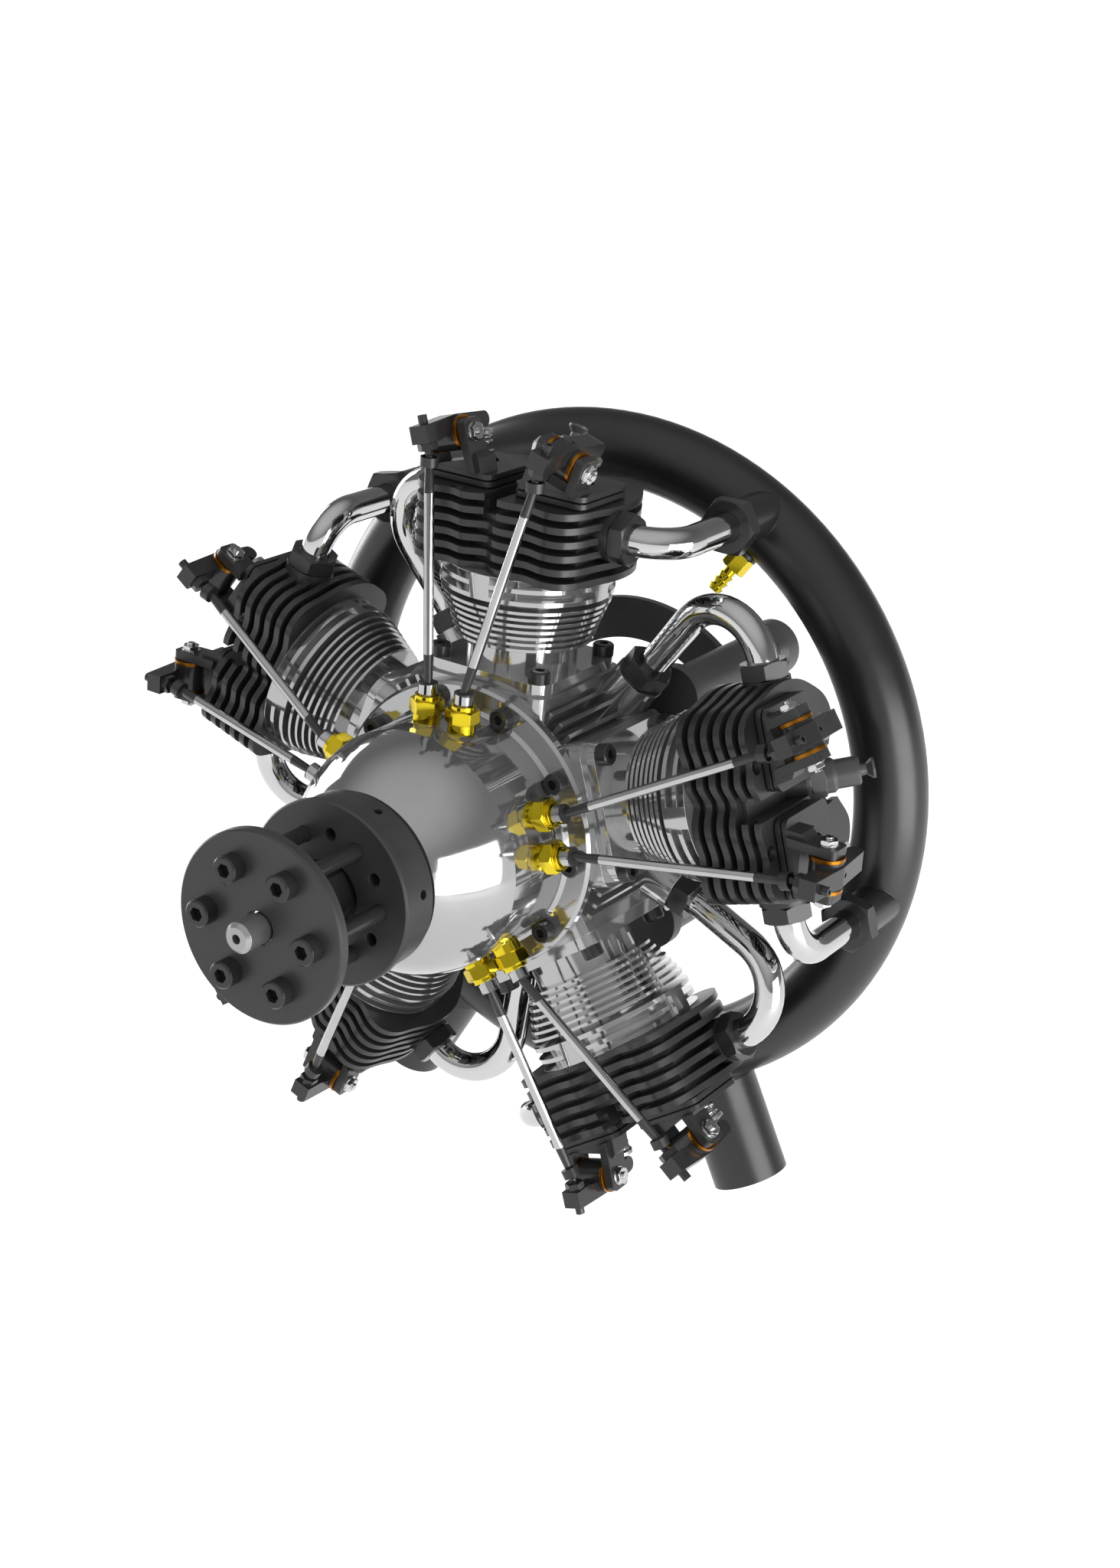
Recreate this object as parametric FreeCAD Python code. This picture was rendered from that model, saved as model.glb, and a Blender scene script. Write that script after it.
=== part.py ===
import FreeCAD, Part
import math
import os

V = FreeCAD.Vector

# Five-cylinder four-stroke radial engine for a large model aircraft.
# Millimetres. +Z runs up the top cylinder and +Y runs back along the crankshaft.
# The origin is on the crankshaft axis in the plane of the four mounting feet.
# Shapes are drawn with y counted from the cylinder plane, and save() moves them home.

# Overall layout
CYLINDERS = 5
PITCH_DEG = 360.0 / CYLINDERS
MOUNT_REACH = 100.0          # cylinder plane to the mounting feet
BORE = 30.0
STROKE = 26.0
SEAT = 0.04                  # radial gap of a fixed fit
RUN = 0.05                   # radial gap of a turning or sliding fit
OPEN = 0.3                   # free gap between faces that pass each other

# Crankcase
PAD_RHO = 48.0               # crankshaft axis to a cylinder pad
PAD_SIZE = 48.0
CASE_R = 43.0
CASE_FRONT = -24.5
CASE_REAR = 25.0
CASE_WALL = 4.5
CASE_RIB_R = 51.0
CASE_RIB_COUNT = 5
CASE_RIB_T = 1.4
CASE_RIB_DEG = 5.2
PORT_BOSS_R = 8.5            # induction bosses at the crankcase corners
PORT_BOSS_TOP = 61.0
PORT_BOSS_Y = 15.8
BASE_SCREW_R = 2.0
BASE_SCREW_GRIP = 6.0        # thread depth in the pad

# Nose case
NOSE_FLANGE_R = 48.5
NOSE_FLANGE_T = 4.0
NOSE_R = 40.0
NOSE_WALL = 4.0
NOSE_DRUM_FRONT = -57.0
NOSE_TIP_Y = -82.0
NOSE_TIP_R = 27.5
CASE_SCREW_COUNT = 10
CASE_SCREW_PCR = 43.3
CASE_SCREW_R = 2.0
CASE_SCREW_FIRST = 18.0      # degrees from the top

# Shaft and propeller drive
SHAFT_R = 6.0
REAR_JOURNAL_R = 8.0
WEB_R = 28.0
WEB_T = 7.5
WEB_FRONT = -12.0
WEB_HALF = 12.5              # half width of the web above the shaft
CRANKPIN_R = 5.0
REAR_BEARING_R = 13.0
NOSE_BEARING_R = 14.0
BEARING_T = 9.0
BEARING_BALLS = 8
RACE_T = 2.0
HUB_FRONT = -98.8
HUB_LENGTH = 15.5
HUB_FLANGE_R = 29.5
HUB_BODY_R = 28.4
HUB_FLANGE_T = 3.2
WASHER_FRONT = -131.2
WASHER_T = 4.0
WASHER_R = 30.0
PROP_PCR = 19.4
PROP_SCREW_R = 2.5
PROP_TAP_R = 2.1
PROP_HEAD_R = 4.25
PROP_HEAD_L = 5.0
PROP_SCREWS = 6
STUB_R = 4.8
STUB_FRONT = -141.4
STUB_NECK_R = 4.4             # relief behind the stub, under the clamp washer
PROP_NUT_AF = 17.0
PROP_NUT_T = 9.0

# Cylinder barrel
FLANGE_SIZE = 46.0
FLANGE_T = 4.0
BASE_SCREW_PITCH = 38.0
NECK_R = 18.0
NECK_TOP = 60.0
SPIGOT_R = 16.6
SPIGOT_LOW = 42.0
FIN_COUNT = 7
FIN_PITCH = 2.3
FIN_T = 1.0
FIN_R_LOW = 22.5
FIN_R_HIGH = 27.5
COLLAR_R = 28.2
COLLAR_LOW = 76.8
GROOVE_T = 2.5
GROOVE_PITCH = 4.0
HEAD_RHO = 85.0

# Cylinder head
HEAD_FINS = 6
HEAD_FIN_PITCH = 4.4
HEAD_FIN_T = 2.2
HEAD_CORE_R = 21.0
TOWER_IN = 4.2
TOWER_OUT = 30.0
TOWER_FRONT = -19.5
TOWER_REAR = 7.5
TOWER_PLATES = 2
TOWER_PLATE_T = 1.7
TOWER_PLATE_GAP = 0.6
EX_PORT_RHO = 99.7
EX_PORT_Y = -3.8
EX_FACE = 34.5               # cylinder axis to the exhaust nut seat
EX_BOSS_R = 8.2
IN_PORT_RHO = 100.0
IN_PORT_Y = 7.4
IN_FACE = 34.2
IN_BOSS_R = 7.8
PORT_BORE_R = 4.6
PORT_T = 13.5                # cylinder axis to the inner end of a port
PLUG_TILT = 31.5             # plug axis from the cylinder axis, degrees
PLUG_FOOT_RHO = 88.0
PLUG_FOOT_Y = 2.5
PLUG_THREAD_R = 4.0
PLUG_BOSS_R = 8.2
PLUG_SEAT = 19.5             # plug foot to the boss face
PLUG_AF = 11.6
SLOT_HALF = 3.2              # half width of the cooling slot between the towers

# Valve gear
VALVE_TILT = 17.0            # valve axis from the cylinder axis, degrees
PIVOT_RHO = 123.6
PIVOT_T = 21.0
PIVOT_Y = -17.5
PUSH_ARM = 13.2              # pivot to the adjusting screw
VALVE_ARM = 14.5             # pivot to the valve tip
HUB_HALF = 4.4
HUB_R = 5.4
BEAM_HALF = 3.2
BUSH_R = 5.6
BUSH_T = 1.2
EAR_T = 3.0
EAR_TOP = 4.4                # above the pivot
EAR_CORNER_R = 1.8
EAR_FOOT = -8.2
EAR_REAR = 6.5               # behind the pivot, at the foot
EAR_FLARE = 1.8              # web that spreads an ear on to its foot
PIN_R = 2.0
PIN_HEAD_AF = 5.2
SCREW_R = 1.5                # adjusting screw
LOCK_NUT_AF = 5.5
BALL_R = 1.2
BALL_DROP = 5.0              # pivot plane down to the ball
TAPPET_T = 6.8
TAPPET_Y = -42.5
TAPPET_R = 2.5
GUIDE_R = 4.0
GUIDE_AF = 9.6
GUIDE_HEX_LOW = 41.8
GUIDE_HEX_TOP = 46.2
GUIDE_TOP = 47.6
ROD_R = 1.6
CUP_R = 2.9
CUP_BORE_R = 2.3
STEM_R = 1.5
DISC_R = 5.4
RETAINER_R = 4.6
VALVE_LOW = -36.0            # pivot plane down to the closed valve's face
VALVE_LIFT = 2.5
PAD_R = 2.6                  # rounded pad that presses on the valve
ROCKER_UNDER = -0.4          # pivot plane to the rocker's pad
SPRING_SEAT = -13.5          # pivot plane down to the spring seat
SPRING_R = 3.5
SPRING_WIRE = 0.8
SPRING_TURNS = 5

# Cam drive
CAM_BASE_R = 31.4
CAM_LIFT = 2.3
CAM_REAR = -39.0
CAM_FRONT = -46.5
GEAR_MODULE = 0.875
PINION_TEETH = 16
IDLER_TEETH = 24
RING_TEETH = 64
IDLER_DEG = 54.0
IDLER_AXLE_R = 3.0
CAM_PLATE_T = 1.8

# Connecting rods
ROD_PLATE = 3.2
KNUCKLE_R = 9.6
MASTER_LENGTH = 58.0
WRIST_R = 3.5
PISTON_R = BORE / 2.0 - 0.15
CROWN_H = 11.0
SKIRT_H = 8.0

# Pipes
EX_RING_R = 109.7
EX_RING_TUBE = 12.25
EX_RING_WALL = 1.4
EX_RING_Y = 60.0
STUB_RHO = 100.2
STUB_T = 53.5
STUB_PIPE_R = 7.4
RING_NUT_Y = 30.0
NIPPLE_DEG = 29.4
NIPPLE_R = 2.0
OUTLET_R = 13.4
OUTLET_ROOT = 122.0          # crankshaft axis to the round part of an outlet
OUTLET_END = 159.0
OUTLET_DEGS = (152.0, 208.0)
PIPE_R = 5.0
PIPE_WALL = 0.8
EX_NUT_AF = 15.0
RING_NUT_AF = 17.0
IN_NUT_AF = 14.5
NUT_T = 5.5
EX_BEND_R = 13.0
IN_BEND_R = 17.0
IN_FOOT_BEND_R = 20.0
IN_FOOT_RUN = 9.0            # straight run of an intake pipe above its boss
HEAD_CHAMFER = 0.5           # edge of a socket screw's head

# Rear mount
LEG_DEGS = (45.0, 135.0, 225.0, 315.0)
LEG_PCR = 57.0
LEG_R = 8.0
FOOT_R = 10.0
FOOT_T = 7.0
LEG_BORE_R = 2.6
TIE_OUT = 53.0
TIE_IN = 38.5
TIE_Y = 77.0
TIE_T = 3.0
PLATE_T = 5.0
PLATE_IN = 34.0
COVER_T = 4.0
INLET_R = 10.0
INLET_PITCH = 36.0
INLET_REACH = 12.0
INLET_FLANGE_T = 4.0

# Sizes that follow from the others
TILT = math.radians(VALVE_TILT)
HEAD_TOP = HEAD_RHO + HEAD_FINS * HEAD_FIN_PITCH - (HEAD_FIN_PITCH - HEAD_FIN_T)
TOWER_TOP = HEAD_TOP + TOWER_PLATES * (TOWER_PLATE_T + TOWER_PLATE_GAP)
IDLER_REACH = (PINION_TEETH + IDLER_TEETH) * GEAR_MODULE / 2.0
TAPPET_LOW = CAM_BASE_R + CAM_LIFT + OPEN
CUP_FOOT = GUIDE_TOP + 0.5


# Helpers

def rod(r, p, q):
    return Part.makeCylinder(r, (q - p).Length, p, q - p)


def rod_y(r, y0, y1, x=0.0, z=0.0):
    return rod(r, V(x, y0, z), V(x, y1, z))


def rod_z(r, z0, z1, x=0.0, y=0.0):
    return rod(r, V(x, y, z0), V(x, y, z1))


def block(x0, x1, y0, y1, z0, z1):
    return Part.makeBox(x1 - x0, y1 - y0, z1 - z0, V(x0, y0, z0))


def rounded_block(x0, x1, y0, y1, z0, z1, r):
    shape = block(x0, x1, y0, y1, z0, z1)
    upright = [e for e in shape.Edges if abs(e.tangentAt(e.FirstParameter).z) > 0.9]
    return shape.makeFillet(r, upright)


def prism(points, direction):
    return Part.Face(Part.makePolygon(points + [points[0]])).extrude(direction)


def hexagon(af, p, q, turn=0.0, bevel=False):
    """Hexagonal bar between two points, across flats af, with its corners turned down at both ends."""
    bar = Part.makeCircle(af / math.sqrt(3.0), V(0, 0, 0), V(0, 0, 1))
    points = [bar.valueAt(bar.FirstParameter + math.radians(turn + 60.0 * i)) for i in range(6)]
    length = (q - p).Length
    shape = prism(points, V(0, 0, length))
    if bevel:
        flat = af / 2.0
        corner = af / math.sqrt(3.0) + 0.05
        drop = (corner - flat) * math.tan(math.radians(30.0))
        shape = shape.common(turned_z([(0, 0), (flat, 0), (corner, drop), (corner, length - drop),
                                       (flat, length), (0, length)]))
    shape.Placement = FreeCAD.Placement(p, FreeCAD.Rotation(V(0, 0, 1), q - p))
    return shape


def screw_head(r, seat, top):
    """Cylindrical head with a chamfered rim, from its seat to its top."""
    axis = (top - seat).normalize()
    rim = top - axis * HEAD_CHAMFER
    return rod(r, seat, rim).fuse(Part.makeCone(r, r - HEAD_CHAMFER, HEAD_CHAMFER, rim, axis))


def turned_y(profile):
    """Solid turned about the crankshaft axis from (radius, y) points; a triple is the middle of an arc."""
    edges = []
    count = len(profile)
    i = 0
    while i < count:
        here, after = profile[i], profile[(i + 1) % count]
        if len(after) == 3:
            end = profile[(i + 2) % count]
            arc = Part.Arc(V(here[0], here[1], 0), V(after[0], after[1], 0), V(end[0], end[1], 0))
            edges.append(arc.toShape())
            i += 2
        else:
            edges.append(Part.LineSegment(V(here[0], here[1], 0), V(after[0], after[1], 0)).toShape())
            i += 1
    return Part.Face(Part.Wire(edges)).revolve(V(0, 0, 0), V(0, 1, 0), 360)


def turned_z(profile):
    """Solid turned about a cylinder axis from (radius, height) points."""
    face = Part.Face(Part.makePolygon([V(r, 0, z) for r, z in profile + [profile[0]]]))
    return face.revolve(V(0, 0, 0), V(0, 0, 1), 360)


def turn(shape, degrees):
    """Copy turned about the crankshaft, clockwise as seen from the front."""
    copy = shape.copy()
    copy.rotate(V(0, 0, 0), V(0, 1, 0), degrees)
    return copy


def mirror(shape):
    return shape.mirror(V(0, 0, 0), V(1, 0, 0))


def spread(shape, count=CYLINDERS, first=0.0):
    return [turn(shape, first + i * 360.0 / count) for i in range(count)]


def both_sides(shape):
    return [shape, mirror(shape)]


def on_every_valve(shapes):
    return solids([copy for shape in shapes for half in both_sides(shape) for copy in spread(half)])


def solids(shapes):
    return Part.makeCompound([s for shape in shapes for s in shape.Solids])


def polar(radius, degrees, y=0.0):
    angle = math.radians(degrees)
    return V(radius * math.sin(angle), y, radius * math.cos(angle))


def save(name, shape):
    placed = shape.copy()
    placed.translate(V(0, -MOUNT_REACH, 0))
    placed.exportStep("parts/" + name + ".step")


def socket_screw(shank_r, head_r, head_l, head_y, length, af, x=0.0, z=0.0):
    """Cap screw along the crankshaft with its head at the front."""
    screw = screw_head(head_r, V(x, head_y + head_l, z), V(x, head_y, z))
    screw = screw.fuse(rod_y(shank_r, head_y + head_l, head_y + head_l + length, x, z))
    key = hexagon(af, V(x, head_y - 0.1, z), V(x, head_y + head_l * 0.55, z))
    return screw.cut(key)


def gear_frame(shape):
    """Place a shape drawn as x = w, y, z = u about the rocker pivot on the clockwise side."""
    copy = shape.copy()
    copy.rotate(V(0, 0, 0), V(0, 1, 0), VALVE_TILT)
    copy.translate(V(PIVOT_T, PIVOT_Y, PIVOT_RHO))
    return copy


def gear_point(w, y, u):
    c, s = math.cos(TILT), math.sin(TILT)
    return V(PIVOT_T + w * c + u * s, PIVOT_Y + y, PIVOT_RHO - w * s + u * c)


def crankcase():
    body = rod_y(CASE_R, CASE_FRONT, CASE_REAR)
    half = PAD_SIZE / 2.0
    pad = rounded_block(-half, half, CASE_FRONT, CASE_REAR, 0.0, PAD_RHO, 5.0)
    for copy in spread(pad):
        body = body.fuse(copy)
    middle = (CASE_RIB_COUNT - 1) / 2.0
    rib = block(-CASE_RIB_T / 2.0, CASE_RIB_T / 2.0, CASE_FRONT + 3.0, CASE_REAR - 1.5, 30.0, CASE_RIB_R)
    for corner in range(CYLINDERS):
        for i in range(CASE_RIB_COUNT):
            body = body.fuse(turn(rib, (corner + 0.5) * PITCH_DEG + (i - middle) * CASE_RIB_DEG))
    boss = rod_z(PORT_BOSS_R, 30.0, PORT_BOSS_TOP, 0.0, PORT_BOSS_Y)
    for copy in spread(boss, first=PITCH_DEG / 2.0):
        body = body.fuse(copy)
    body = body.cut(rod_y(CASE_R - CASE_WALL, CASE_FRONT + CASE_WALL, CASE_REAR + 1.0))
    body = body.cut(rod_y(REAR_BEARING_R + SEAT, CASE_FRONT - 1.0, CASE_FRONT + CASE_WALL + 1.0))
    spigot = rod_z(SPIGOT_R + SEAT, 30.0, PAD_RHO + 1.0)
    screw = rod_z(BASE_SCREW_R + SEAT, PAD_RHO - BASE_SCREW_GRIP, PAD_RHO + 1.0)
    port = rod_z(PORT_BORE_R, 30.0, PORT_BOSS_TOP + 1.0, 0.0, PORT_BOSS_Y)
    for k in range(CYLINDERS):
        body = body.cut(turn(spigot, k * PITCH_DEG))
        body = body.cut(turn(port, (k + 0.5) * PITCH_DEG))
        for x, y in base_screw_spots():
            hole = screw.copy()
            hole.translate(V(x, y, 0))
            body = body.cut(turn(hole, k * PITCH_DEG))
    for i in range(CASE_SCREW_COUNT):
        spot = polar(CASE_SCREW_PCR, case_screw_deg(i))
        body = body.cut(rod_y(CASE_SCREW_R + SEAT, CASE_FRONT - 1.0, CASE_FRONT + 8.0, spot.x, spot.z))
    axle = polar(IDLER_REACH, IDLER_DEG)
    boss_r = IDLER_REACH - REAR_BEARING_R - OPEN
    body = body.fuse(rod_y(boss_r, CAM_REAR + OPEN, CASE_FRONT + CASE_WALL, axle.x, axle.z))
    return body.fuse(rod_y(IDLER_AXLE_R, CAM_FRONT + CAM_PLATE_T + OPEN, CASE_FRONT, axle.x, axle.z))


def case_screw_deg(i):
    return CASE_SCREW_FIRST + i * 360.0 / CASE_SCREW_COUNT


def base_screw_spots():
    half = BASE_SCREW_PITCH / 2.0
    return [(x, y) for x in (-half, half) for y in (-half, half)]


def nose_case():
    flange_front = CASE_FRONT - NOSE_FLANGE_T
    inner = NOSE_R - NOSE_WALL
    tip_inner = NOSE_TIP_Y + BEARING_T + 4.0
    profile = [
        (inner, CASE_FRONT), (NOSE_FLANGE_R, CASE_FRONT), (NOSE_FLANGE_R, flange_front + 1.0),
        (NOSE_FLANGE_R - 1.0, flange_front), (NOSE_R + 1.2, flange_front), (NOSE_R, flange_front - 1.2),
        (NOSE_R, NOSE_DRUM_FRONT), (NOSE_R - 3.4, (NOSE_DRUM_FRONT + NOSE_TIP_Y) / 2.0 + 1.5, "arc"),
        (NOSE_TIP_R, NOSE_TIP_Y), (SHAFT_R + 3.0, NOSE_TIP_Y),
        (SHAFT_R + 3.0, NOSE_TIP_Y + 2.0), (NOSE_BEARING_R + SEAT, NOSE_TIP_Y + 2.0),
        (NOSE_BEARING_R + SEAT, tip_inner), (inner - 8.0, tip_inner), (inner, NOSE_DRUM_FRONT + 4.0),
    ]
    body = turned_y(profile)
    flat = block(-15.5, 15.5, TAPPET_Y - 6.2, TAPPET_Y + 9.0, NOSE_R - 1.2, NOSE_R + 12.0)
    for k in range(CYLINDERS):
        body = body.cut(turn(flat, k * PITCH_DEG))
        for side in (-1, 1):
            hole = rod_z(GUIDE_R + SEAT, 25.0, NOSE_R + 2.0, side * TAPPET_T, TAPPET_Y)
            body = body.cut(turn(hole, k * PITCH_DEG))
    for i in range(CASE_SCREW_COUNT):
        spot = polar(CASE_SCREW_PCR, case_screw_deg(i))
        body = body.cut(rod_y(CASE_SCREW_R + SEAT, flange_front - 1.0, CASE_FRONT + 1.0, spot.x, spot.z))
        body = body.cut(rod_y(4.2, flange_front - 20.0, flange_front, spot.x, spot.z))
    return body


def tappet_guides():
    x, y = TAPPET_T, TAPPET_Y
    guide = rod_z(GUIDE_R, NOSE_R - NOSE_WALL + 0.5, GUIDE_TOP, x, y)
    hexa = hexagon(GUIDE_AF, V(x, y, GUIDE_HEX_LOW), V(x, y, GUIDE_HEX_TOP), 30.0, True)
    collar = rod_z(GUIDE_R + 0.5, NOSE_R - 1.2, GUIDE_HEX_LOW, x, y)
    guide = guide.fuse(hexa).fuse(collar).cut(rod_z(TAPPET_R + RUN, 20.0, GUIDE_TOP + 1.0, x, y))
    return [turn(s, k * PITCH_DEG) for k in range(CYLINDERS) for s in both_sides(guide)]


def case_screws():
    flange_front = CASE_FRONT - NOSE_FLANGE_T
    out = []
    for i in range(CASE_SCREW_COUNT):
        spot = polar(CASE_SCREW_PCR, case_screw_deg(i))
        out.append(socket_screw(CASE_SCREW_R, 3.5, 4.0, flange_front - 4.0, NOSE_FLANGE_T + 6.0, 3.0,
                                spot.x, spot.z))
    return out


def cylinder_barrel():
    """One barrel with its base flange, fins, slotted collar and liner bore."""
    profile = [(BORE / 2.0, SPIGOT_LOW), (SPIGOT_R, SPIGOT_LOW), (SPIGOT_R, PAD_RHO + 1.0),
               (NECK_R, PAD_RHO + 1.0), (NECK_R, NECK_TOP)]
    for i in range(FIN_COUNT):
        low = NECK_TOP + i * FIN_PITCH
        reach = FIN_R_LOW + (FIN_R_HIGH - FIN_R_LOW) * i / (FIN_COUNT - 1.0)
        profile += [(reach, low), (reach, low + FIN_T), (NECK_R + 1.0, low + FIN_T)]
        profile.append((NECK_R + 1.0, low + FIN_PITCH))
    profile += [(COLLAR_R, COLLAR_LOW), (COLLAR_R, HEAD_RHO), (BORE / 2.0, HEAD_RHO)]
    barrel = turned_z(profile)
    half = FLANGE_SIZE / 2.0
    flange = rounded_block(-half, half, -half, half, PAD_RHO, PAD_RHO + FLANGE_T, 6.0)
    barrel = barrel.fuse(flange.cut(rod_z(NECK_R - 0.5, PAD_RHO - 1.0, PAD_RHO + FLANGE_T + 1.0)))
    land = block(-3.5, 3.5, -COLLAR_R - 1.0, COLLAR_R + 1.0, COLLAR_LOW, HEAD_RHO)
    lands = land.fuse(turn_z(land, 90.0))
    for i in range(2):
        low = COLLAR_LOW + 1.5 + i * GROOVE_PITCH
        groove = rod_z(COLLAR_R + 1.0, low, low + GROOVE_T).cut(rod_z(COLLAR_R - 5.0, low - 1.0, low + 4.0))
        barrel = barrel.cut(groove.cut(lands))
    for x, y in base_screw_spots():
        barrel = barrel.cut(rod_z(BASE_SCREW_R + SEAT, PAD_RHO - 1.0, PAD_RHO + FLANGE_T + 1.0, x, y))
    return barrel


def turn_z(shape, degrees):
    copy = shape.copy()
    copy.rotate(V(0, 0, 0), V(0, 0, 1), degrees)
    return copy


def barrel_screws():
    top = PAD_RHO + FLANGE_T
    out = []
    for x, y in base_screw_spots():
        shank = rod_z(BASE_SCREW_R, PAD_RHO - BASE_SCREW_GRIP + 0.5, top, x, y)
        screw = screw_head(3.5, V(x, y, top), V(x, y, top + 4.0)).fuse(shank)
        screw = screw.cut(hexagon(3.0, V(x, y, top + 1.8), V(x, y, top + 4.1)))
        out.append(screw)
    return [turn(s, k * PITCH_DEG) for k in range(CYLINDERS) for s in out]


def fin_outline(z):
    """Wavy outline of one head fin."""
    right = [(0.0, -24.0), (8.5, -26.2), (14.5, -25.0), (20.5, -26.4), (26.0, -25.6), (30.0, -20.5),
             (31.6, -13.0), (33.4, -5.0), (33.8, 4.0), (32.0, 12.5), (28.0, 20.0), (23.0, 26.0),
             (17.0, 27.8), (11.0, 24.5), (0.0, 20.0)]
    points = right + [(-x, y) for x, y in reversed(right[1:-1])]
    curve = Part.BSplineCurve()
    curve.interpolate([V(x, y, z) for x, y in points], PeriodicFlag=True)
    return Part.Face(Part.Wire(curve.toShape()))


def cylinder_head():
    """One head: fins on a core, two valve towers, ports, chamber and plug boss."""
    core = rod_z(HEAD_CORE_R, HEAD_RHO, HEAD_TOP)
    head = core
    for i in range(HEAD_FINS):
        low = HEAD_RHO + i * HEAD_FIN_PITCH
        head = head.fuse(fin_outline(low).extrude(V(0, 0, HEAD_FIN_T)))
    for side in (-1, 1):
        lo, hi = sorted((side * TOWER_IN, side * TOWER_OUT))
        tower = block(lo + 1.6, hi - 1.6, TOWER_FRONT + 1.6, TOWER_REAR - 1.6, HEAD_RHO, TOWER_TOP)
        head = head.fuse(tower)
        for i in range(TOWER_PLATES):
            high = TOWER_TOP - i * (TOWER_PLATE_T + TOWER_PLATE_GAP)
            plate = rounded_block(lo, hi, TOWER_FRONT, TOWER_REAR, high - TOWER_PLATE_T, high, 3.0)
            head = head.fuse(plate)
    head = head.fuse(rod(EX_BOSS_R, V(0, EX_PORT_Y, EX_PORT_RHO), V(EX_FACE, EX_PORT_Y, EX_PORT_RHO)))
    head = head.fuse(rod(IN_BOSS_R, V(0, IN_PORT_Y, IN_PORT_RHO), V(-IN_FACE, IN_PORT_Y, IN_PORT_RHO)))
    notch_low = HEAD_TOP - 2.0 * HEAD_FIN_PITCH + HEAD_FIN_T
    head = head.cut(block(-SLOT_HALF, SLOT_HALF, -40.0, 8.0, notch_low, HEAD_TOP + 1.0))
    head = head.cut(block(-8.5, 8.5, 9.0, 40.0, notch_low - 2.0 * HEAD_FIN_PITCH, HEAD_TOP + 1.0))
    head = head.fuse(rod(PLUG_BOSS_R, plug_point(4.0), plug_point(PLUG_SEAT)))
    chamber = Part.makeSphere(19.0, V(0, 0, HEAD_RHO - 11.5))
    head = head.cut(chamber)
    exhaust = rod(PORT_BORE_R, V(PORT_T, EX_PORT_Y, EX_PORT_RHO), V(EX_FACE + 1.0, EX_PORT_Y, EX_PORT_RHO))
    corner = V(-PORT_T, IN_PORT_Y, IN_PORT_RHO)
    intake = rod(PORT_BORE_R, corner, V(-IN_FACE - 1.0, IN_PORT_Y, IN_PORT_RHO))
    intake = intake.fuse(Part.makeSphere(PORT_BORE_R, corner))
    intake = intake.fuse(rod(PORT_BORE_R, corner, V(-PORT_T, PIVOT_Y + VALVE_ARM, IN_PORT_RHO)))
    head = head.cut(exhaust.fuse(intake))
    for side in (-1, 1):
        above = gear_point(0, VALVE_ARM, 5.0)
        face = gear_point(0, VALVE_ARM, VALVE_LOW - VALVE_LIFT - 1.0)
        pocket = rod(DISC_R + 0.4, face, gear_point(0, VALVE_ARM, VALVE_LOW + 12.0))
        bore = rod(STEM_R + RUN, face, above)
        seat = rod(SPRING_R + 1.4, gear_point(0, VALVE_ARM, SPRING_SEAT), above)
        cut = pocket.fuse(bore).fuse(seat)
        head = head.cut(cut if side > 0 else mirror(cut))
    head = head.cut(rod(PLUG_THREAD_R + SEAT, plug_point(-1.0), plug_point(PLUG_SEAT + 10.0)))
    head = head.cut(rod(PLUG_BOSS_R + 1.0, plug_point(PLUG_SEAT), plug_point(PLUG_SEAT + 20.0)))
    for side in (-1, 1):
        head = head.cut(rod_z(2.4, HEAD_TOP - 4.0, HEAD_TOP + 0.1, side * 13.5, -22.6))
    return head


def plug_point(reach):
    """Point along the plug axis, counted from the combustion chamber."""
    angle = math.radians(PLUG_TILT)
    return V(0, PLUG_FOOT_Y + reach * math.sin(angle), PLUG_FOOT_RHO + reach * math.cos(angle))


def spark_plugs():
    """Plugs with a hexagon, a shielded body and a spool-shaped terminal."""
    thread = [(0, 3.0 - PLUG_SEAT), (PLUG_THREAD_R, 3.0 - PLUG_SEAT), (PLUG_THREAD_R, 0.0)]
    shield = [(6.4, 0.0), (6.4, 1.2), (5.6, 1.2), (5.6, 8.6), (4.7, 9.6), (4.7, 16.5), (4.0, 17.2)]
    terminal = [(2.0, 17.2), (1.8, 19.2), (3.3, 21.0), (3.3, 21.8), (0, 21.8)]
    plug = turned_z(thread + shield + terminal)
    plug = plug.fuse(hexagon(PLUG_AF, V(0, 0, 1.2), V(0, 0, 6.2), 0.0, True))
    axis = plug_point(1.0) - plug_point(0.0)
    plug.Placement = FreeCAD.Placement(plug_point(PLUG_SEAT), FreeCAD.Rotation(V(0, 0, 1), axis))
    return spread(plug)


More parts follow.
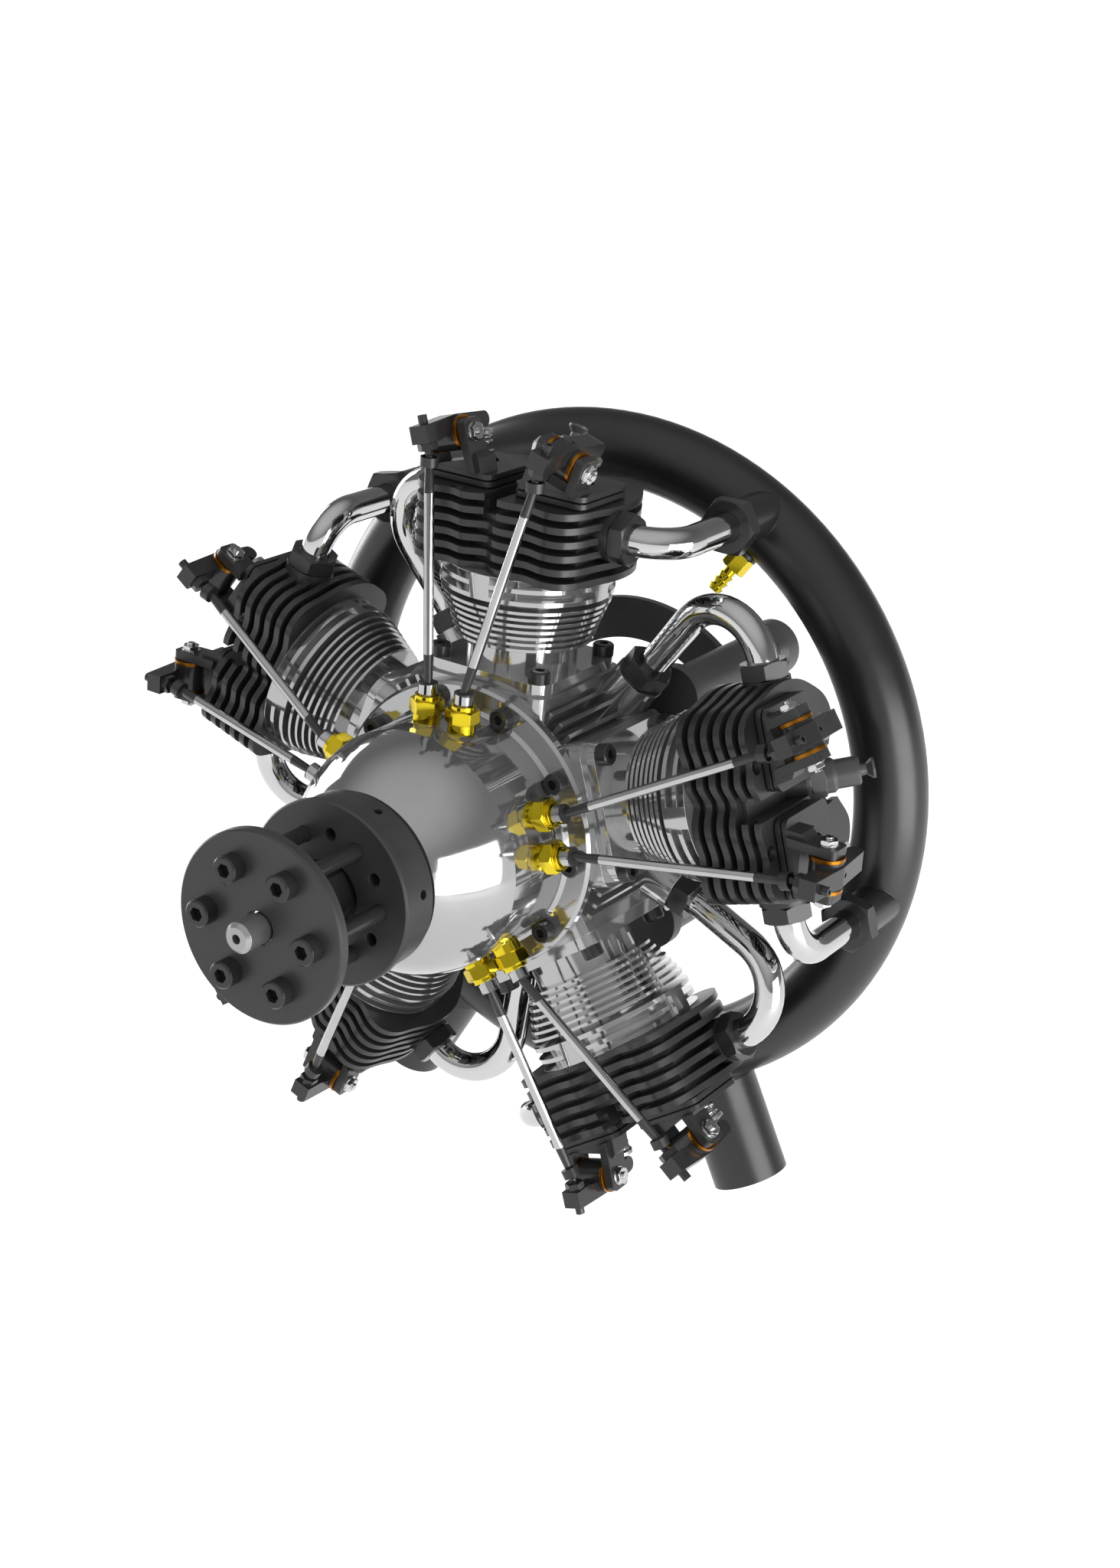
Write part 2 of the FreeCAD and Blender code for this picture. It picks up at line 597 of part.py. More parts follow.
def rocker_stand():
    """Two leaning ears on one foot, cut level at the tower top."""
    inner = HUB_HALF + BUSH_T + 0.1
    outline = [V(0, -3.4, -16.0), V(0, EAR_REAR, -16.0), V(0, 4.3, EAR_TOP), V(0, -4.3, EAR_TOP)]
    ear = prism(outline, V(EAR_T, 0, 0))
    corners = [e for e in ear.Edges if e.BoundBox.XLength > 1.0 and e.BoundBox.ZMin > 0.0]
    ear = ear.makeFillet(EAR_CORNER_R, corners)
    right = ear.copy()
    right.translate(V(inner, 0, 0))
    left = ear.copy()
    left.translate(V(-inner - EAR_T, 0, 0))
    reach = inner + EAR_T
    front = TOWER_FRONT - PIVOT_Y
    foot = block(-reach - EAR_FLARE, reach + EAR_FLARE, front, EAR_REAR, -16.0, EAR_FOOT)
    stand = foot.fuse(right).fuse(left)
    for side in (-1, 1):
        flare = prism([V(side * reach, front, EAR_FOOT), V(side * (reach + EAR_FLARE), front, EAR_FOOT),
                       V(side * reach, front, EAR_FOOT + EAR_FLARE)], V(0, EAR_REAR - 1.0 - front, 0))
        stand = stand.fuse(flare)
    stand = stand.cut(rod(PIN_R + SEAT, V(-20, 0, 0), V(20, 0, 0)))
    stand = gear_frame(stand)
    return stand.cut(block(-10.0, 60.0, -60.0, 30.0, TOWER_TOP - 30.0, TOWER_TOP))


def rocker_pin():
    reach = HUB_HALF + BUSH_T + 0.1 + EAR_T
    pin = rod(PIN_R, V(-reach, 0, 0), V(reach, 0, 0))
    for side in (-1, 1):
        pin = pin.fuse(rod(3.1, V(side * reach, 0, 0), V(side * (reach + 0.4), 0, 0)))
        head = V(side * (reach + 0.4), 0, 0), V(side * (reach + 2.0), 0, 0)
        pin = pin.fuse(hexagon(PIN_HEAD_AF, head[0], head[1], 0.0, True))
        pin = pin.fuse(rod(1.3, V(side * (reach + 2.0), 0, 0), V(side * (reach + 2.8), 0, 0)))
    return gear_frame(pin)


def rocker_bush_pair():
    out = []
    for side in (-1, 1):
        start = side * (HUB_HALF + 0.08)
        bush = rod(BUSH_R, V(start, 0, 0), V(start + side * (BUSH_T - 0.04), 0, 0))
        bush = bush.cut(rod(PIN_R + SEAT, V(-20, 0, 0), V(20, 0, 0)))
        out.append(gear_frame(bush))
    return out


def rocker():
    """Rocker with its hub, front block, rear pad, adjusting screw and lock nut."""
    hub = rod(HUB_R, V(-HUB_HALF, 0, 0), V(HUB_HALF, 0, 0))
    front = -PUSH_ARM - 3.4
    middle = ROCKER_UNDER + PAD_R
    side_view = [V(0, front, -0.6), V(0, -PUSH_ARM + 3.0, -0.6), V(0, -5.0, 0.6), V(0, -4.4, -2.4),
                 V(0, 4.4, -2.4), V(0, 8.0, 0.9), V(0, VALVE_ARM, 0.9), V(0, VALVE_ARM, middle + PAD_R),
                 V(0, 0.0, 6.0), V(0, front, 5.0)]
    beam = prism(side_view, V(2.0 * BEAM_HALF, 0, 0))
    beam.translate(V(-BEAM_HALF, 0, 0))
    pad = rod(PAD_R, V(-BEAM_HALF, VALVE_ARM, middle), V(BEAM_HALF, VALVE_ARM, middle))
    body = hub.fuse(beam).fuse(pad).cut(rod(PIN_R + RUN, V(-20, 0, 0), V(20, 0, 0)))
    body = body.cut(rod_z(SCREW_R + SEAT, -10.0, 10.0, 0.0, -PUSH_ARM))
    body = body.cut(rod_z(0.8, 0.0, 10.0, 0.0, 1.5))
    screw = rod_z(SCREW_R - 0.5, -BALL_DROP, -3.0, 0.0, -PUSH_ARM)
    screw = screw.fuse(rod_z(SCREW_R, -3.2, 8.0, 0.0, -PUSH_ARM))
    screw = screw.cut(hexagon(1.5, V(0, -PUSH_ARM, 6.8), V(0, -PUSH_ARM, 8.1)))
    screw = screw.fuse(Part.makeSphere(BALL_R, V(0, -PUSH_ARM, -BALL_DROP)))
    nut = hexagon(LOCK_NUT_AF, V(0, -PUSH_ARM, -3.0), V(0, -PUSH_ARM, -0.62), 30.0, True)
    nut = nut.cut(rod_z(SCREW_R + SEAT, -10.0, 10.0, 0.0, -PUSH_ARM))
    return gear_frame(Part.makeCompound([body, screw, nut]))


def pushrod():
    """Tappet, its cup, the tapered tube and the top cup, all on one moving piece."""
    x, y = TAPPET_T, TAPPET_Y
    tappet = rod_z(TAPPET_R, TAPPET_LOW, CUP_FOOT, x, y).fuse(rod_z(3.1, CUP_FOOT, CUP_FOOT + 3.4, x, y))
    foot = V(x, y, CUP_FOOT + 3.0)
    ball = gear_point(0, -PUSH_ARM, -BALL_DROP)
    cup_floor = ball - V(0, 0, BALL_R + 0.1)
    along = cup_floor - foot
    unit = V(along).normalize()
    neck_low = foot + unit * 9.0
    neck_high = cup_floor - unit * 9.0
    tube = rod(ROD_R, neck_low, neck_high)
    low = Part.makeCone(1.3, ROD_R, 9.0, foot, unit)
    high = Part.makeCone(ROD_R, 1.3, 9.0 - 1.2, neck_high, unit)
    cup = rod_z(CUP_R, cup_floor.z - 1.6, cup_floor.z + 1.4, cup_floor.x, cup_floor.y)
    cup = cup.cut(rod_z(CUP_BORE_R, cup_floor.z, cup_floor.z + 3.0, cup_floor.x, cup_floor.y))
    return tappet.fuse(low).fuse(tube).fuse(high).fuse(cup)


def valve():
    """Poppet valve with its retainer, along the tilted valve axis."""
    top = ROCKER_UNDER - 0.1
    stem = rod_z(STEM_R, VALVE_LOW, top, 0.0, VALVE_ARM)
    disc = Part.makeCone(DISC_R, STEM_R, 3.6, V(0, VALVE_ARM, VALVE_LOW + 1.2), V(0, 0, 1))
    disc = disc.fuse(rod_z(DISC_R, VALVE_LOW, VALVE_LOW + 1.2, 0.0, VALVE_ARM))
    retainer = turned_z([(0, -3.6), (2.6, -3.6), (2.6, -2.6), (RETAINER_R, -2.6), (RETAINER_R, -1.4),
                         (2.4, -0.9), (0, -0.9)])
    retainer.translate(V(0, VALVE_ARM, 0))
    return gear_frame(stem.fuse(disc).fuse(retainer))


def valve_spring():
    """Coil of square wire between the seat in the head and the retainer."""
    low = SPRING_SEAT + SPRING_WIRE / 2.0 + 0.1
    high = -2.6 - SPRING_WIRE / 2.0 - 0.1
    helix = Part.makeHelix((high - low) / SPRING_TURNS, high - low, SPRING_R)
    half = SPRING_WIRE / 2.0
    square = ((-half, -half), (half, -half), (half, half), (-half, half))
    corners = [V(SPRING_R + a, 0, b) for a, b in square]
    section = Part.makePolygon(corners + [corners[0]])
    coil = Part.Wire(helix.Edges).makePipeShell([section], True, True)
    coil.translate(V(0, VALVE_ARM, low))
    return gear_frame(coil)


def crankshaft():
    shaft = rod_y(REAR_JOURNAL_R, CASE_FRONT + CASE_WALL - BEARING_T - 1.0, WEB_FRONT)
    shaft = shaft.fuse(rod_y(SHAFT_R, HUB_FRONT - PROP_NUT_T - 8.0, CASE_FRONT))
    shaft = shaft.fuse(rod_y(STUB_R, STUB_FRONT + 1.2, WASHER_FRONT - OPEN))
    shaft = shaft.fuse(rod_y(STUB_NECK_R, WASHER_FRONT - OPEN, HUB_FRONT))
    shaft = shaft.fuse(Part.makeCone(STUB_R - 1.2, STUB_R, 1.2, V(0, STUB_FRONT, 0), V(0, 1, 0)))
    shaft = shaft.cut(rod_y(1.5, STUB_FRONT - 1.0, STUB_FRONT + 12.0))
    web = rod_y(WEB_R, WEB_FRONT, WEB_FRONT + WEB_T)
    for side in (-1, 1):
        near, far = sorted((side * WEB_HALF, side * (WEB_R + 1.0)))
        web = web.cut(block(near, far, WEB_FRONT - 1.0, WEB_FRONT + WEB_T + 1.0, -6.0, WEB_R + 1.0))
    return shaft.fuse(web)


def prop_hub():
    rear = HUB_FRONT + HUB_LENGTH
    step = HUB_FRONT + HUB_FLANGE_T
    bore = SHAFT_R + SEAT
    hub = turned_y([(bore, HUB_FRONT), (HUB_FLANGE_R - 0.6, HUB_FRONT), (HUB_FLANGE_R, HUB_FRONT + 0.6),
                    (HUB_FLANGE_R, step - 0.4), (HUB_FLANGE_R - 0.4, step), (HUB_BODY_R, step),
                    (HUB_BODY_R, rear - 1.0), (HUB_BODY_R - 1.0, rear), (bore, rear)])
    hub = hub.cut(rod_y(11.0, HUB_FRONT - 1.0, HUB_FRONT + 4.0))
    for i in range(PROP_SCREWS):
        for turn_deg, r in ((30.0, PROP_SCREW_R + SEAT), (0.0, PROP_TAP_R)):
            spot = polar(PROP_PCR, turn_deg + i * 60.0)
            hub = hub.cut(rod_y(r, HUB_FRONT - 1.0, HUB_FRONT + 12.0, spot.x, spot.z))
        pin = rod_z(1.5, HUB_BODY_R - 6.0, HUB_BODY_R + 2.0, 0.0, rear - 5.5)
        hub = hub.cut(turn(pin, 20.0 + i * 60.0))
    return hub


def prop_washer():
    rear = WASHER_FRONT + WASHER_T
    bore = STUB_R + 0.5
    washer = turned_y([(bore, WASHER_FRONT), (WASHER_R - 0.6, WASHER_FRONT), (WASHER_R, WASHER_FRONT + 0.6),
                       (WASHER_R, rear - 0.6), (WASHER_R - 0.6, rear), (bore, rear)])
    for i in range(PROP_SCREWS):
        spot = polar(PROP_PCR, 30.0 + i * 60.0)
        washer = washer.cut(rod_y(PROP_SCREW_R + SEAT, WASHER_FRONT - 1.0, rear + 1.0, spot.x, spot.z))
    return washer


def prop_screws():
    out = []
    for i in range(PROP_SCREWS):
        spot = polar(PROP_PCR, 30.0 + i * 60.0)
        length = HUB_FRONT + 10.0 - WASHER_FRONT
        head_y = WASHER_FRONT - PROP_HEAD_L
        out.append(socket_screw(PROP_SCREW_R, PROP_HEAD_R, PROP_HEAD_L, head_y, length, 4.0,
                                spot.x, spot.z))
    return out


def prop_nut():
    rear = HUB_FRONT + 4.0
    nut = hexagon(PROP_NUT_AF, V(0, rear - 2.0 - PROP_NUT_T, 0), V(0, rear - 2.0, 0), 0.0, True)
    nut = nut.fuse(rod_y(10.2, rear - 2.0, rear))
    return nut.cut(rod_y(SHAFT_R + SEAT, rear - 20.0, rear + 1.0))


def bearing(outer, inner, y0):
    """Ball bearing: outer race, inner race and balls."""
    outer_track = outer - RACE_T
    inner_track = inner + RACE_T
    ring = rod_y(outer, y0, y0 + BEARING_T).cut(rod_y(outer_track, y0 - 1.0, y0 + BEARING_T + 1.0))
    core = rod_y(inner_track, y0, y0 + BEARING_T).cut(rod_y(inner + RUN, y0 - 1.0, y0 + BEARING_T + 1.0))
    balls = []
    for i in range(BEARING_BALLS):
        spot = polar((outer_track + inner_track) / 2.0, i * 360.0 / BEARING_BALLS, y0 + BEARING_T / 2.0)
        balls.append(Part.makeSphere((outer_track - inner_track) / 2.0, spot))
    return [ring, core] + balls


def shaft_bearings():
    rear = bearing(REAR_BEARING_R, REAR_JOURNAL_R, CASE_FRONT + CASE_WALL - BEARING_T)
    return rear + bearing(NOSE_BEARING_R, SHAFT_R, NOSE_TIP_Y + 2.0)


def knuckle(k):
    return polar(STROKE / 2.0, 0.0) + polar(KNUCKLE_R, k * PITCH_DEG)


def wrist_height(k):
    """Height of a gudgeon pin up its own cylinder with the crankpin at the top."""
    if k == 0:
        return STROKE / 2.0 + MASTER_LENGTH
    point = knuckle(k)
    axis = polar(1.0, k * PITCH_DEG)
    along = point.dot(axis)
    across = math.sqrt(point.Length ** 2 - along ** 2)
    return along + math.sqrt((MASTER_LENGTH - KNUCKLE_R) ** 2 - across ** 2)


def piston(k):
    pin = wrist_height(k)
    crown = pin + CROWN_H
    body = rod_z(PISTON_R, pin - SKIRT_H, crown)
    for i in range(2):
        groove = rod_z(PISTON_R + 1.0, crown - 3.4 - 2.6 * i, crown - 2.4 - 2.6 * i)
        body = body.cut(groove.cut(rod_z(PISTON_R - 1.2, crown - 10.0, crown)))
    hollow = rod_z(PISTON_R - 2.2, pin - SKIRT_H - 1.0, crown - 4.8)
    boss = rod_y(WRIST_R + 2.6, -PISTON_R, PISTON_R, 0.0, pin)
    boss = boss.cut(block(-20, 20, -4.5, 4.5, pin - 20, pin + 20))
    body = body.cut(hollow).fuse(boss.common(rod_z(PISTON_R, pin - SKIRT_H, crown)))
    return turn(body.cut(rod_y(WRIST_R + SEAT, -20.0, 20.0, 0.0, pin)), k * PITCH_DEG)


def rod_bar(start, end, half_w, half_t):
    along = end - start
    length = along.Length
    shape = block(-half_w, half_w, -half_t, half_t, 0.0, length)
    lean = FreeCAD.Rotation(V(0, 1, 0), math.degrees(math.atan2(along.x, along.z)))
    shape.Placement = FreeCAD.Placement(start, lean)
    return shape


def eye(spot, outer, half_t):
    return rod_y(outer, spot.y - half_t, spot.y + half_t, spot.x, spot.z)


def connecting_rods():
    half = ROD_PLATE / 2.0
    pin = polar(STROKE / 2.0, 0.0)
    top = polar(wrist_height(0), 0.0)
    master = eye(pin, CRANKPIN_R + 2.4, half + 2.0)
    for side in (-1, 1):
        y0 = side * (half + 0.15)
        y1 = side * (half + 2.0)
        master = master.fuse(rod_y(KNUCKLE_R + 2.8, min(y0, y1), max(y0, y1), pin.x, pin.z))
    master = master.fuse(rod_bar(pin, top, 3.4, half)).fuse(eye(top, WRIST_R + 2.0, half + 1.0))
    master = master.cut(rod_y(CRANKPIN_R + SEAT, -20.0, 20.0, pin.x, pin.z))
    master = master.cut(rod_y(WRIST_R + RUN, -20.0, 20.0, top.x, top.z))
    out = [master]
    for k in range(1, CYLINDERS):
        low = knuckle(k)
        high = polar(wrist_height(k), k * PITCH_DEG)
        link = rod_bar(low, high, 2.2, half - 0.3).fuse(eye(low, 2.6, half))
        link = link.fuse(eye(high, WRIST_R + 2.0, half + 1.0))
        link = link.cut(rod_y(CRANKPIN_R + 2.6, -20.0, 20.0, pin.x, pin.z))
        link = link.cut(rod_y(1.5 + RUN, -20.0, 20.0, low.x, low.z))
        out.append(link.cut(rod_y(WRIST_R + RUN, -20.0, 20.0, high.x, high.z)))
    for k in range(1, CYLINDERS):
        low = knuckle(k)
        out[0] = out[0].cut(rod_y(1.5 + SEAT, -20.0, 20.0, low.x, low.z))
    return out


def rod_pins():
    pin = polar(STROKE / 2.0, 0.0)
    out = [rod_y(CRANKPIN_R, WEB_FRONT + WEB_T + OPEN, ROD_PLATE / 2.0 + 2.6, pin.x, pin.z)]
    for k in range(CYLINDERS):
        high = polar(wrist_height(k), k * PITCH_DEG)
        wrist = rod_y(WRIST_R, -12.5, 12.5, high.x, high.z)
        out.append(wrist.cut(rod_y(WRIST_R - 1.2, -13.0, 13.0, high.x, high.z)))
        if k:
            low = knuckle(k)
            out.append(rod_y(1.5, -ROD_PLATE / 2.0 - 2.0, ROD_PLATE / 2.0 + 2.0, low.x, low.z))
    return out


def cam_ring():
    """Two-lobed cam ring with an internal gear, on a web that turns on the shaft."""
    ring = rod_y(CAM_BASE_R, CAM_FRONT, CAM_REAR)
    for i in range(2):
        lobe = rod_y(8.0, CAM_FRONT, CAM_REAR, 0.0, CAM_BASE_R + CAM_LIFT - 8.0)
        ring = ring.fuse(turn(lobe, 18.0 + 180.0 * i))
    inner = RING_TEETH * GEAR_MODULE / 2.0
    ring = ring.cut(rod_y(inner + 0.5, CAM_FRONT + CAM_PLATE_T, CAM_REAR + 1.0))
    hub = rod_y(SHAFT_R + 2.5, CAM_FRONT - 3.0, CAM_FRONT + 1.5)
    return ring.fuse(hub).cut(rod_y(SHAFT_R + RUN, CAM_FRONT - 5.0, CAM_REAR))


def cam_idler():
    spot = polar(IDLER_REACH, IDLER_DEG)
    front = CAM_FRONT + CAM_PLATE_T + OPEN
    gear = rod_y(IDLER_TEETH * GEAR_MODULE / 2.0 - 0.6, front, CAM_REAR, spot.x, spot.z)
    return gear.cut(rod_y(IDLER_AXLE_R + RUN, CAM_FRONT, CAM_REAR + 1.0, spot.x, spot.z))


def pipe(points, bends, r, wall):
    """Round pipe along straight runs joined by arcs, hollow."""
    edges = []
    start = points[0]
    for i in range(1, len(points) - 1):
        a, b, c = points[i - 1], points[i], points[i + 1]
        back = (a - b).normalize()
        ahead = (c - b).normalize()
        half = math.acos(max(-1.0, min(1.0, back.dot(ahead)))) / 2.0
        run = bends[i - 1] / math.tan(half)
        into = b + back * run
        out = b + ahead * run
        middle = b + (back + ahead).normalize() * (bends[i - 1] / math.sin(half) - bends[i - 1])
        edges.append(Part.LineSegment(start, into).toShape())
        edges.append(Part.Arc(into, middle, out).toShape())
        start = out
    edges.append(Part.LineSegment(start, points[-1]).toShape())
    path = Part.Wire(edges)
    direction = points[1] - points[0]
    shells = []
    for radius in (r, r - wall):
        section = Part.Wire(Part.makeCircle(radius, points[0], direction))
        shells.append(path.makePipeShell([section], True, False))
    return shells[0].cut(shells[1])


def exhaust_path():
    start = V(EX_FACE + 2.0, EX_PORT_Y, EX_PORT_RHO)
    corner = V(STUB_T, EX_PORT_Y, STUB_RHO)
    end = V(STUB_T, RING_NUT_Y + 2.0, STUB_RHO)
    return [start, corner, end]


def exhaust_pipes():
    return spread(pipe(exhaust_path(), [EX_BEND_R], PIPE_R, PIPE_WALL))


def intake_path():
    start = polar(PORT_BOSS_TOP + 1.0, -PITCH_DEG / 2.0, PORT_BOSS_Y)
    bend = polar(PORT_BOSS_TOP + IN_FOOT_RUN, -PITCH_DEG / 2.0, PORT_BOSS_Y)
    corner = polar(IN_PORT_RHO / math.cos(math.radians(PITCH_DEG / 2.0)), -PITCH_DEG / 2.0, IN_PORT_Y)
    end = V(-IN_FACE - 2.0, IN_PORT_Y, IN_PORT_RHO)
    return [start, bend, corner, end]


def intake_pipes():
    return spread(pipe(intake_path(), [IN_FOOT_BEND_R, IN_BEND_R], PIPE_R, PIPE_WALL))


def pipe_nuts():
    """Union nuts at both ends of every exhaust and intake pipe."""
    gap = PIPE_R + SEAT
    ex = union_nut(EX_NUT_AF, V(EX_FACE, EX_PORT_Y, EX_PORT_RHO),
                   V(EX_FACE + NUT_T, EX_PORT_Y, EX_PORT_RHO))
    start, corner, end = exhaust_path()
    ex = ex.cut(rod(gap, start - (corner - start).normalize() * 5.0, corner))
    ring = union_nut(RING_NUT_AF, V(STUB_T, RING_NUT_Y, STUB_RHO), V(STUB_T, RING_NUT_Y + NUT_T, STUB_RHO))
    ring = ring.cut(rod_y(gap, RING_NUT_Y - 1.0, RING_NUT_Y + NUT_T + 1.0, STUB_T, STUB_RHO))
    head = union_nut(IN_NUT_AF, V(-IN_FACE, IN_PORT_Y, IN_PORT_RHO),
                     V(-IN_FACE - NUT_T, IN_PORT_Y, IN_PORT_RHO))
    face = V(-IN_FACE + 1.0, IN_PORT_Y, IN_PORT_RHO)
    head = head.cut(rod(gap, face, face - V(NUT_T + 2.0, 0, 0)))
    foot = union_nut(IN_NUT_AF, V(0, PORT_BOSS_Y, PORT_BOSS_TOP),
                     V(0, PORT_BOSS_Y, PORT_BOSS_TOP + NUT_T + 1.0))
    foot = foot.cut(rod_z(gap, PORT_BOSS_TOP - 1.0, PORT_BOSS_TOP + 9.0, 0.0, PORT_BOSS_Y))
    foot = turn(foot, -PITCH_DEG / 2.0)
    return [turn(s, k * PITCH_DEG) for k in range(CYLINDERS) for s in (ex, ring, head, foot)]


def union_nut(af, seat, end):
    return hexagon(af, seat, end, 0.0, True)


def exhaust_ring():
    """Hollow collector ring with five inlet stubs and two outlets."""
    centre = V(0, EX_RING_Y, 0)
    body = Part.makeTorus(EX_RING_R, EX_RING_TUBE, centre, V(0, 1, 0))
    bore = Part.makeTorus(EX_RING_R, EX_RING_TUBE - EX_RING_WALL, centre, V(0, 1, 0))
    for k in range(CYLINDERS):
        stub = rod_y(STUB_PIPE_R, RING_NUT_Y + NUT_T, EX_RING_Y, STUB_T, STUB_RHO)
        hole = rod_y(PIPE_R + 0.6, RING_NUT_Y + NUT_T - 1.0, EX_RING_Y, STUB_T, STUB_RHO)
        body = body.fuse(turn(stub, k * PITCH_DEG))
        bore = bore.fuse(turn(hole, k * PITCH_DEG))
    for degrees in OUTLET_DEGS:
        a = polar(EX_RING_R, degrees, EX_RING_Y)
        root = polar(OUTLET_ROOT, degrees, EX_RING_Y)
        flare = Part.makeCone(EX_RING_TUBE - 1.2, OUTLET_R, OUTLET_ROOT - EX_RING_R, a, root - a)
        body = body.fuse(flare.fuse(rod(OUTLET_R, root, polar(OUTLET_END, degrees, EX_RING_Y))))
        bore = bore.fuse(rod(OUTLET_R - EX_RING_WALL, a, polar(OUTLET_END + 1.0, degrees, EX_RING_Y)))
    base, out = nipple_seat()
    body = body.fuse(rod(NIPPLE_R + 2.5, base - out * 4.0, base))
    bore = bore.fuse(rod(NIPPLE_R + SEAT, base - out * 8.0, base + out))
    return body.cut(bore)


def nipple_seat():
    """Face of the nipple's boss on the collector ring, and the way the nipple points."""
    base = polar(EX_RING_R - EX_RING_TUBE - 0.8, NIPPLE_DEG, EX_RING_Y - 4.0)
    out = V(-base.x, 0, -base.z).normalize()
    return base, V(out.x, -0.45, out.z).normalize()


def rear_cover():
    cover = rod_y(CASE_R, CASE_REAR, CASE_REAR + COVER_T)
    cover = cover.fuse(rod_y(CASE_R - CASE_WALL - 0.1, CASE_REAR - 3.0, CASE_REAR))
    face = CASE_REAR + COVER_T + INLET_REACH
    inlet = rod_y(INLET_R + 4.0, CASE_REAR + COVER_T, face)
    cover = cover.fuse(inlet).fuse(inlet_flange(face))
    cover = cover.cut(rod_y(INLET_R, CASE_REAR - 4.0, face + INLET_FLANGE_T + 1.0))
    return cover.cut(rod_y(INLET_R + 6.0, CASE_REAR - 4.0, CASE_REAR))


def inlet_flange(y0):
    """Two-bolt flange for a carburettor."""
    rear = y0 + INLET_FLANGE_T
    flange = rod_y(INLET_R + 5.0, y0, rear)
    for side in (-1, 1):
        x = side * INLET_PITCH / 2.0
        flange = flange.fuse(rod_y(5.0, y0, rear, x, 0.0))
        flange = flange.fuse(block(*sorted((0.0, x)), y0, rear, -5.0, 5.0))
    for side in (-1, 1):
        flange = flange.cut(rod_y(2.1, y0 - 1.0, rear + 1.0, side * INLET_PITCH / 2.0, 0.0))
    return flange


def rear_mount():
    """Plate on the crankcase rear, four legs with flared feet and a tie ring."""
    low = CASE_REAR + COVER_T
    plate = rod_y(CASE_R + 3.0, low, low + PLATE_T)
    for degrees in LEG_DEGS:
        spot = polar(LEG_PCR, degrees)
        lug = rod_y(LEG_R + 2.0, low, low + PLATE_T, spot.x, spot.z)
        arm = block(-LEG_R - 2.0, LEG_R + 2.0, low, low + PLATE_T, 20.0, LEG_PCR)
        plate = plate.fuse(lug).fuse(turn(arm, degrees))
    plate = plate.cut(rod_y(PLATE_IN, low - 1.0, low + PLATE_T + 1.0))
    mount = plate
    for degrees in LEG_DEGS:
        spot = polar(LEG_PCR, degrees)
        mount = mount.fuse(rod_y(LEG_R, low, MOUNT_REACH - FOOT_T, spot.x, spot.z))
        flare = Part.makeCone(LEG_R, FOOT_R, 3.0, V(spot.x, MOUNT_REACH - FOOT_T - 3.0, spot.z), V(0, 1, 0))
        mount = mount.fuse(flare).fuse(rod_y(FOOT_R, MOUNT_REACH - FOOT_T, MOUNT_REACH, spot.x, spot.z))
    tie = rod_y(TIE_OUT, TIE_Y, TIE_Y + TIE_T).cut(rod_y(TIE_IN, TIE_Y - 1.0, TIE_Y + TIE_T + 1.0))
    mount = mount.fuse(tie)
    for degrees in LEG_DEGS:
        spot = polar(LEG_PCR, degrees)
        mount = mount.cut(rod_y(LEG_BORE_R, MOUNT_REACH - 15.0, MOUNT_REACH + 1.0, spot.x, spot.z))
    return mount


def pressure_nipple():
    """Brass hose nipple screwed into the collector ring."""
    base, out = nipple_seat()
    body = hexagon(7.5, base, base + out * 6.0, 0.0, True)
    body = body.fuse(rod(NIPPLE_R, base - out * 3.0, base + out * 15.0))
    for reach in (9.0, 11.5, 14.0):
        body = body.fuse(Part.makeCone(NIPPLE_R + 0.7, NIPPLE_R, 1.8, base + out * (reach - 0.9), out))
    return body.cut(rod(NIPPLE_R / 2.0, base - out * 4.0, base + out * 16.0))


def main():
    os.makedirs("parts", exist_ok=True)
    save("crankcase", crankcase())
    save("nose_case", nose_case())
    save("rear_cover", rear_cover())
    save("rear_mount", rear_mount())
    save("case_screws", solids(case_screws()))
    save("tappet_guides", solids(tappet_guides()))
    save("cylinder_barrels", solids(spread(cylinder_barrel())))
    save("cylinder_heads", solids(spread(cylinder_head())))
    save("barrel_screws", solids(barrel_screws()))
    save("spark_plugs", solids(spark_plugs()))
    save("rocker_stands", on_every_valve([rocker_stand()]))
    save("rocker_pins", on_every_valve([rocker_pin()]))
    save("rocker_bushes", on_every_valve(rocker_bush_pair()))
    save("valve_springs", on_every_valve([valve_spring()]))
    for kind, maker in (("rocker", rocker), ("pushrod", pushrod), ("valve", valve)):
        for side, shape in zip(("exhaust", "intake"), both_sides(maker())):
            for k in range(CYLINDERS):
                save("%s_%s_%d" % (side, kind, k + 1), turn(shape, k * PITCH_DEG))
    save("crankshaft", crankshaft())
    save("prop_hub", prop_hub())
    save("prop_washer", prop_washer())
    save("prop_screws", solids(prop_screws()))
    save("prop_nut", prop_nut())
    save("shaft_bearings", solids(shaft_bearings()))
    save("pistons", solids([piston(k) for k in range(CYLINDERS)]))
    save("connecting_rods", solids(connecting_rods()))
    save("rod_pins", solids(rod_pins()))
    save("cam_ring", cam_ring())
    save("cam_idler", cam_idler())
    save("exhaust_ring", exhaust_ring())
    save("exhaust_pipes", solids(exhaust_pipes()))
    save("intake_pipes", solids(intake_pipes()))
    save("pipe_nuts", solids(pipe_nuts()))
    save("pressure_nipple", pressure_nipple())


main()
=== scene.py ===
import math

import bpy
from mathutils import Matrix, Vector


